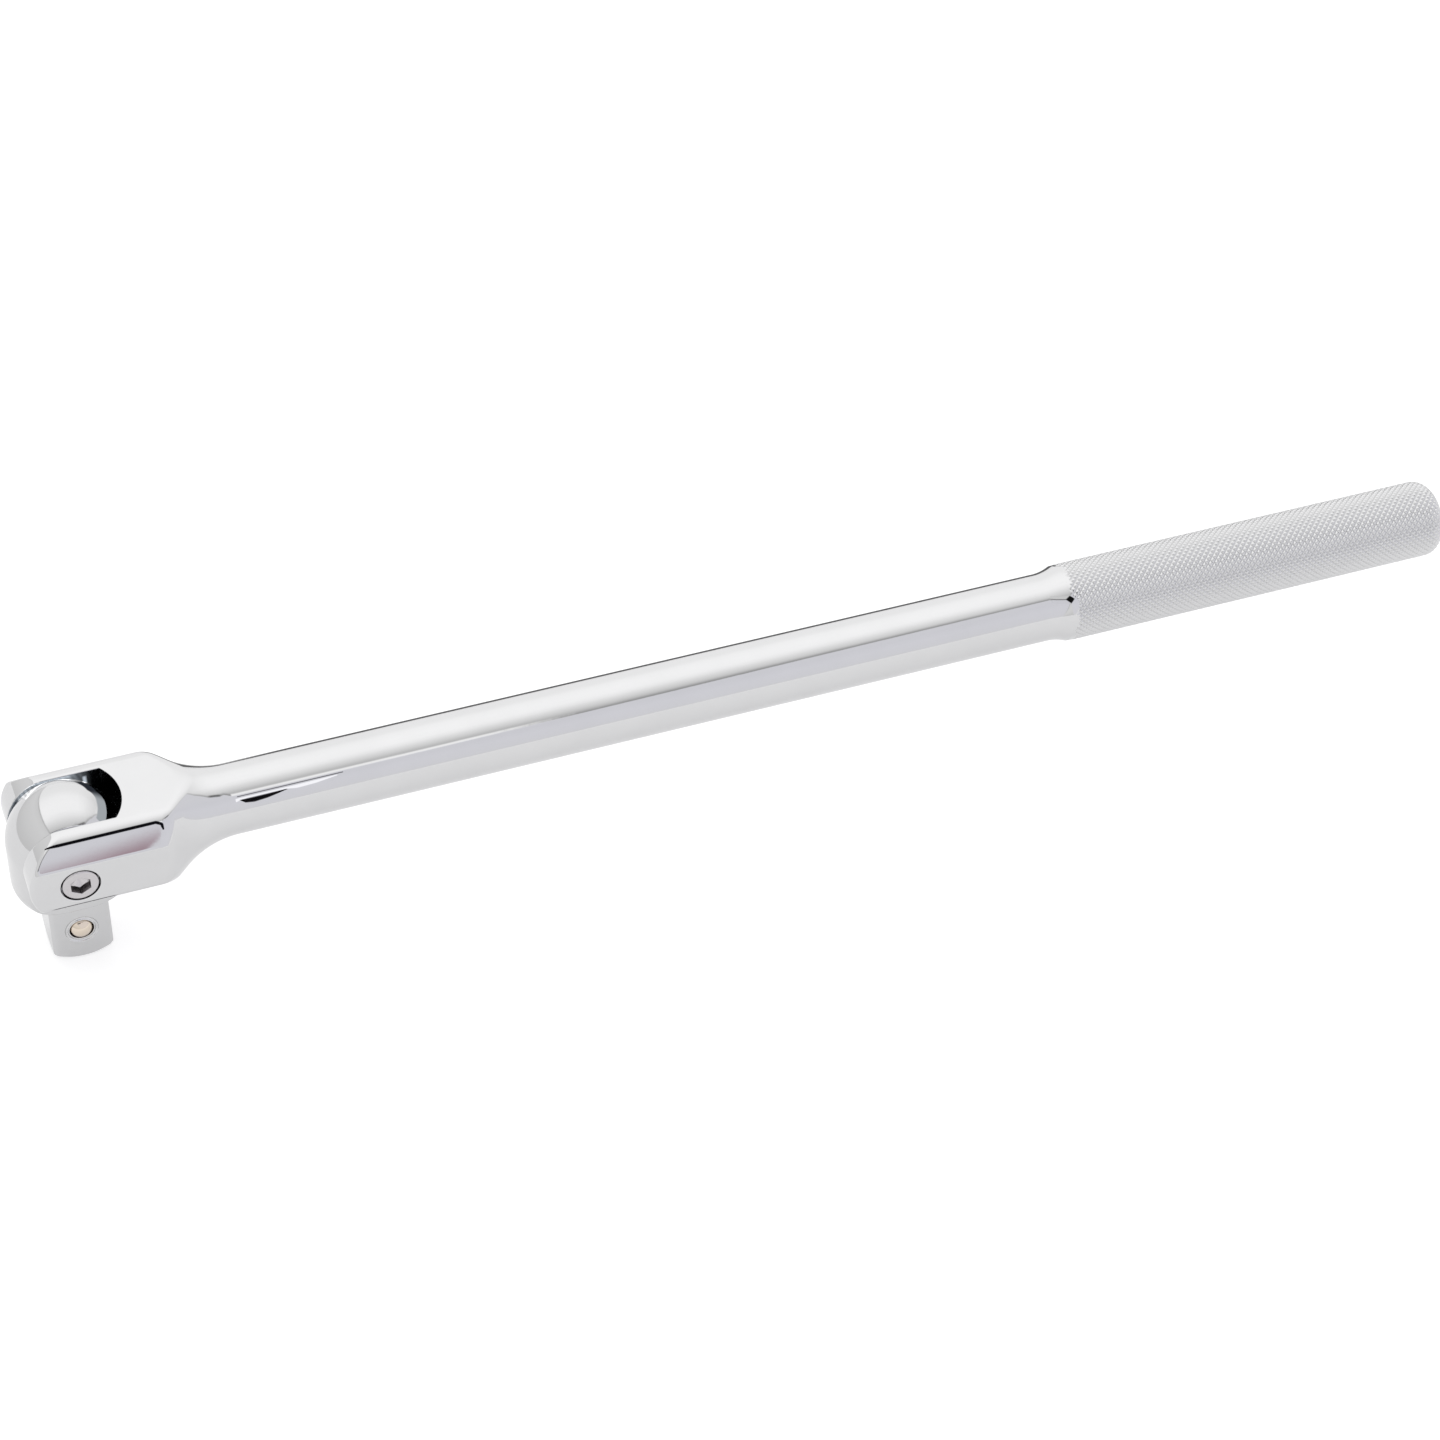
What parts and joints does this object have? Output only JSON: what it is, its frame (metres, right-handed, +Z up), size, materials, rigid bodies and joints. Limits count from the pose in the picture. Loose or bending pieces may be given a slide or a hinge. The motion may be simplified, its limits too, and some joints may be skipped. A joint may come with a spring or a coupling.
{
  "type": "breaker bar",
  "caption": "Chromed flex-head breaker bar: a square drive pivots in the forked end of a round handle with a knurled grip.",
  "frame": {"origin": "in the middle of the square drive's end face, 21.9 mm below the pivot axis and midway between the yoke's two ears", "axes": "+X along the handle towards the grip; +Y along the pivot screw from its head to its threaded end; +Z up, with the square drive pointing to -Z at rest"},
  "size_m": [0.249, 0.0218, 0.031],
  "materials": {
    "handle_chrome": "bright chrome, knurled on the grip",
    "drive_chrome": "bright chrome",
    "screw_steel": "plated, slightly dull",
    "drive_ball_steel": "polished bearing steel, warm tint",
    "friction_ball_steel": "polished bearing steel",
    "spring_steel": "oiled spring wire"
  },
  "bodies": {
    "handle": {"handle": "handle_chrome", "pivot_screw": "screw_steel", "friction_spring": "spring_steel"},
    "drive_head": {"drive_head": "drive_chrome", "drive_ball_spring": "spring_steel"},
    "drive_ball": {"drive_ball": "drive_ball_steel"},
    "friction_ball": {"friction_ball": "friction_ball_steel"}
  },
  "joints": [
    {"name": "head_pivot", "type": "hinge", "parent": "handle", "child": "drive_head", "pos_m": [0, 0, 0.0219], "axis": [0, 1, 0], "range_deg": [0, 180]},
    {"name": "drive_ball_press", "type": "slide", "parent": "drive_head", "child": "drive_ball", "axis": [0, 1, 0], "range_m": [0, 0.0008], "stiffness_N_per_m": 300, "springref_m": -0.004, "deforming": ["drive_ball_spring"]},
    {"name": "friction_ball_press", "type": "slide", "parent": "handle", "child": "friction_ball", "axis": [1, 0, 0], "range_m": [0, 0.0005], "stiffness_N_per_m": 600, "springref_m": -0.006, "deforming": ["friction_spring"]}
  ]
}
